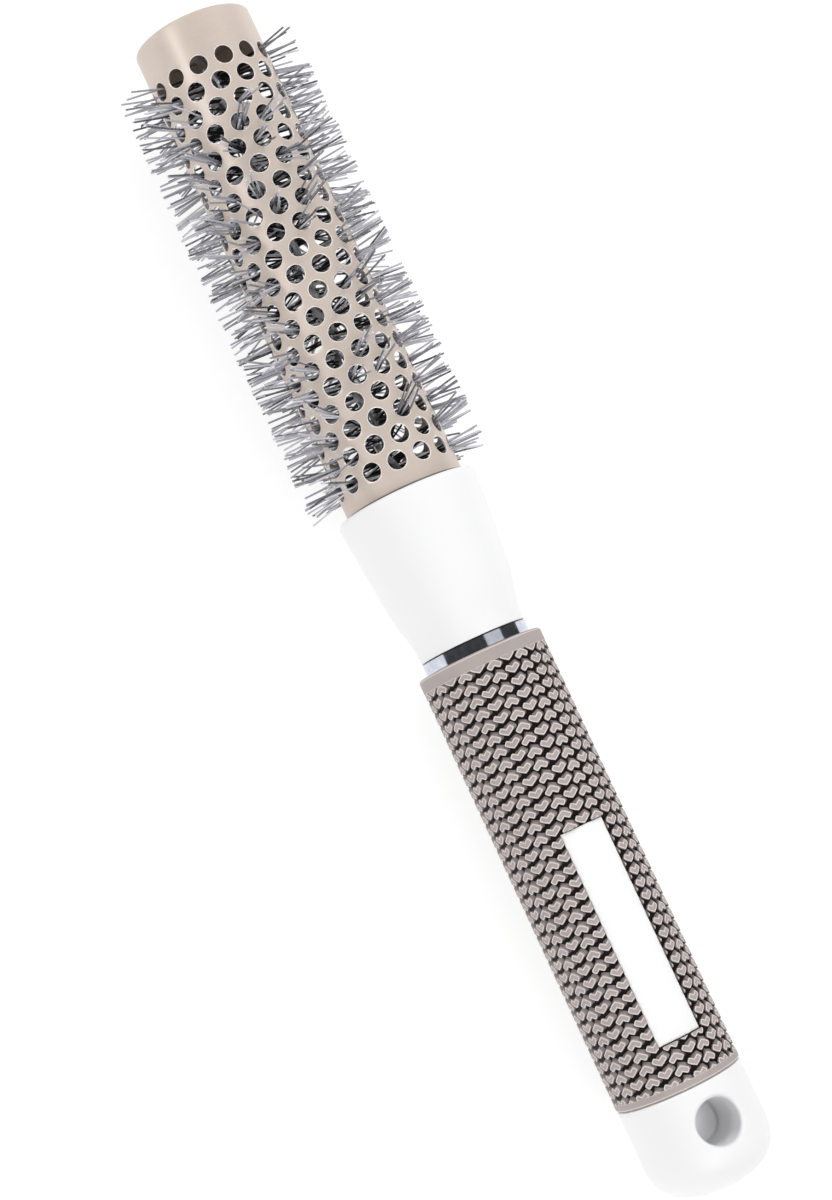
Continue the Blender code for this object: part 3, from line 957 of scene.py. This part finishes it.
def makeHoleCutter(r):
    f, angles = cap["ease"], (0, 15, 30, 45, 60, 75)
    upper = [(r - f * (1 - sin(radians(a))), cap["hole"] + f * (1 - cos(radians(a)))) for a in angles]
    upper.append((r + cap["past"], upper[-1][1] + cap["flare"]))
    lower = [(-z, wide - cap["hole"] + cap["far"]) for z, wide in reversed(upper)]
    ledge = [(-cap["ledgeFoot"], cap["far"]), (-cap["ledgeHalf"], cap["ledge"]),
             (cap["ledgeHalf"], cap["ledge"]), (cap["ledgeTop"], cap["hole"])]
    cutter = turnPiece("holeCutter", lower + ledge + upper, cap["holeSides"], capped=True)
    # turned along X, so it is stood up, bent to the cap's round side and moved to its station
    for vert in cutter.data.vertices:
        z, y, x = vert.co
        bent = min(1.0, abs(z) / (cap["fullBend"] * r)) if abs(z) < r + mm else 0
        drop = bent * (r - sqrt(r * r - y * y))
        vert.co = (cap["holeAt"] - x, y, z - drop if z > 0 else z + drop)
    edit(cutter)
    bpy.ops.mesh.normals_make_consistent(inside=False)
    leaveEdit()
    return cutter


def makeTailCap():
    end, r = capAt["end"], capAt["radius"]
    domeAt, edgeAt, recessAt = end - cap["dome"], capFront + cap["edge"], capFront + cap["recess"]
    steps, bulge = cap["domeSteps"], 2 / cap["power"]
    outline = [(recessAt, cap["pole"]), (recessAt, r - cap["recessWall"]),
               (capFront, r - cap["land"]), (capFront, r - cap["edge"]),
               (capFront + cap["edgeMiddle"], r - cap["edgeMiddle"]), (edgeAt, r)]
    outline += [(edgeAt + (domeAt - edgeAt) * i / cap["sideSteps"], r) for i in range(1, cap["sideSteps"])]
    for i in range(steps):
        angle = 0.5 * pi * i / steps
        outline.append((domeAt + cap["dome"] * sin(angle) ** bulge, r * cos(angle) ** bulge))
    outline.append((end, cap["pole"]))
    piece = turnPiece("tailCap", outline, cap["sides"], capped=True)
    cutter = makeHoleCutter(r)
    applyModifier(piece, "BOOLEAN", operation="DIFFERENCE", object=cutter, solver="EXACT")
    bpy.data.objects.remove(cutter)
    smooth(piece, 30)
    white = whiteFinish("capWhite", tints["moulding"], 0.36, cap["holeAt"], cap["hole"])
    finishPiece(piece, [white], "tail_cap")


makeTailCap()


# nodes that keep their own shape

twistedSteel = steelFinish()
carried = {"core_wire_a": twistedSteel, "core_wire_b": twistedSteel, "handle_core": mattFinish("corePlastic")}
for node, finish in carried.items():
    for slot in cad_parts[node].material_slots:
        slot.material = finish.material
print("carried nodes finished")


# floor, light and camera

ground = {"size": 6, "pastRing": 2 * mm}
lights = {
    # place, size along and across the brush, power, and what it aims at
    "keyUpperRight": ((-0.62, 0.55, 0.75), (0.50, 0.50), 4.05, (0, 0, 0)),
    "overhead": ((0.0, 0.15, 1.10), (0.90, 0.50), 1.5, (0, 0, 0)),
    "leftFill": ((-0.95, -0.70, 0.60), (0.50, 0.60), 0.5, (0, 0, 0)),
    "ringStrip": ((-0.04, 0.36, 0.80), (0.16, 0.60), 0.22, (0, 0, 0)),
    "tipLeft": ((-0.40, -0.72, 0.50), (0.22, 0.14), 1.0, (-0.12, 0, 0)),
    "tailFill": ((0.68, -0.30, 0.80), (0.50, 0.60), 3.0, (0, 0, 0)),
}
studio = {"gap": (0.13, 0.06), "walls": (0.26, 0.62)}       # how far to the side, and how bright from there
camera = {
    "lens": 71.85, "sensor": 36, "clip": (0.01, 20), "distance": 475 * mm,
    "nearest": 167.3 * mm,                                  # station nearest the lens, from the tip
    "tilt": radians(5.17), "roll": radians(24.78), "turn": radians(-18.9), "aside": 6.8 * mm,
}


def makeFloor():
    # the brush lies on its last ring of bristles and on the tail cap
    bpy.ops.object.select_all(action="DESELECT")
    bpy.ops.mesh.primitive_plane_add(size=ground["size"], location=(0, 0, 0))
    plane = namedPiece("paleFloor")
    onBristles, onCap = turnStations[-1] + ground["pastRing"], capAt["end"] - cap["dome"]
    slope = (bristleReach - capAt["radius"]) / (onCap - onBristles)
    for vert in plane.data.vertices:
        vert.co.z = -bristleReach + (vert.co.x - onBristles) * slope
    plane.data.materials.append(floorFinish().material)


def softbox(name, place, size, power, aim):
    lamp = bpy.data.lights.new(name, "AREA")
    lamp.shape = "RECTANGLE"
    lamp.size, lamp.size_y = size
    lamp.energy = power
    holder = bpy.data.objects.new(name, lamp)
    bpy.context.scene.collection.objects.link(holder)
    back = (Vector(place) - Vector(aim)).normalized()
    across = back.cross(Vector((1, 0, 0))).normalized()
    along = across.cross(back)
    holder.matrix_world = Matrix.Translation(place) @ Matrix((along, across, back)).transposed().to_4x4()


def makeWorld():
    # pale studio with a dark gap across the middle, where the camera stands
    world = bpy.data.worlds.new("studio")
    bpy.context.scene.world = world
    world.use_nodes = True
    tree = world.node_tree
    where = tree.nodes.new("ShaderNodeTexCoord")
    split = tree.nodes.new("ShaderNodeSeparateXYZ")
    tree.links.new(where.outputs["Generated"], split.inputs[0])
    ramp = tree.nodes.new("ShaderNodeValToRGB")
    for stop, (at, grey) in zip(ramp.color_ramp.elements, (studio["gap"], studio["walls"])):
        stop.position, stop.color = at, (grey, grey, grey, 1)
    feed(tree, ramp.inputs[0], abs(Socket(tree, split.outputs["X"])))
    tree.links.new(ramp.outputs[0], tree.nodes["Background"].inputs[0])


def makeCamera():
    turn, tilt, roll = camera["turn"], camera["tilt"], camera["roll"]
    towards = Vector((0, sin(turn), cos(turn)))             # from the brush to the lens
    aside = Vector((0, cos(turn), -sin(turn)))
    axis = Vector((1, 0, 0))
    along = cos(tilt) * axis - sin(tilt) * towards
    back = sin(tilt) * axis + cos(tilt) * towards
    right = sin(roll) * along + cos(roll) * aside
    up = -cos(roll) * along + sin(roll) * aside
    lens = bpy.data.cameras.new("mainView")
    lens.lens, lens.sensor_width = camera["lens"], camera["sensor"]
    lens.clip_start, lens.clip_end = camera["clip"]
    view = bpy.data.objects.new("mainView", lens)
    bpy.context.scene.collection.objects.link(view)
    place = Vector((barrelAt["start"] + camera["nearest"], 0, 0))
    place += camera["distance"] * towards - camera["aside"] * aside
    view.matrix_world = Matrix.Translation(place) @ Matrix((right, up, back)).transposed().to_4x4()
    bpy.context.scene.camera = view


makeFloor()
makeWorld()
for name, settings in lights.items():
    softbox(name, *settings)
for name in ("keyUpperRight", "overhead"):
    bpy.data.objects[name].visible_glossy = False       # they light the brush but leave its metal dark
makeCamera()
bpy.context.scene.view_settings.view_transform = "Standard"
print("stage set")
